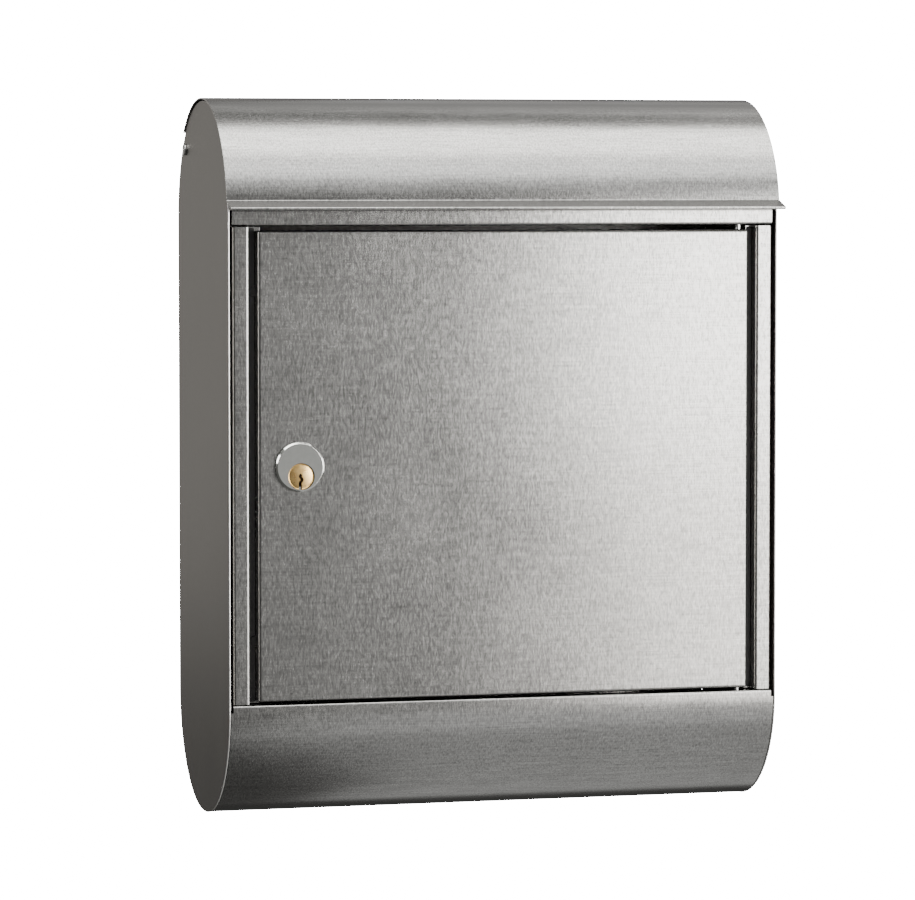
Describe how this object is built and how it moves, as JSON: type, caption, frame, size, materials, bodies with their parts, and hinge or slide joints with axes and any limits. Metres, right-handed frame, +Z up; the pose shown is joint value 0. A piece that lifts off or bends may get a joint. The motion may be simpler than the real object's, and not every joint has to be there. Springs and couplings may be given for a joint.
{
  "type": "wall mounted mailbox",
  "caption": "Wall mailbox in galvanised sheet steel with half-round ends, a curved lifting flap over the letter slot and a side-hung door with a cam lock.",
  "frame": {"origin": "centre of the back panel's face that lies on the wall", "axes": "+Y into the wall, -Y out of the door's face, +X to the right as seen from the front, +Z up"},
  "size_m": [0.3834, 0.1699, 0.48],
  "materials": {
    "zinc_sheet": "galvanised steel sheet, satin, with a fine upright grain",
    "side_sheet": "smooth satin galvanised sheet, warm grey",
    "inner_sheet": "plain galvanised sheet, dull",
    "plated_steel": "bright zinc plating",
    "polished_metal": "polished nickel",
    "plug_brass": "fine turned brass",
    "white_nylon": "moulded nylon",
    "black_rubber": "matt rubber"
  },
  "bodies": {
    "housing": {"side_plate_left": "side_sheet", "side_plate_right": "side_sheet", "back_panel": "inner_sheet", "bottom_panel": "zinc_sheet", "top_rail": "zinc_sheet", "stile_left": "zinc_sheet", "stile_right": "zinc_sheet", "door_buffer_lower": "black_rubber", "door_buffer_upper": "black_rubber", "flap_pin_left": "plated_steel", "flap_pin_right": "plated_steel", "flap_clip_left": "plated_steel", "flap_clip_right": "plated_steel", "hinge_pin_upper": "plated_steel", "hinge_pin_lower": "plated_steel", "strike_plate": "plated_steel", "door_seal_left": "black_rubber", "door_seal_right": "black_rubber"},
    "flap": {"flap_shell": "zinc_sheet", "flap_ear_left": "inner_sheet", "flap_ear_right": "inner_sheet"},
    "door": {"door_skin": "zinc_sheet", "hinge_bush_upper": "white_nylon", "hinge_bush_lower": "white_nylon", "lock_housing": "polished_metal", "lock_nut": "plated_steel"},
    "lock_core": {"lock_plug": "plug_brass", "lock_cam": "plated_steel", "cam_screw": "plated_steel"}
  },
  "joints": [
    {"name": "flap_hinge", "type": "hinge", "parent": "housing", "child": "flap", "pos_m": [0, -0.02596, 0.20662], "axis": [-1, 0, 0], "range_deg": [0, 65]},
    {"name": "door_hinge", "type": "hinge", "parent": "housing", "child": "door", "pos_m": [0.1643, -0.1474, 0], "axis": [0, 0, 1], "range_deg": [0, 110]},
    {"name": "lock_turn", "type": "hinge", "parent": "door", "child": "lock_core", "pos_m": [-0.1411, -0.1534, -0.0088], "axis": [0, 1, 0], "range_deg": [0, 90]}
  ]
}
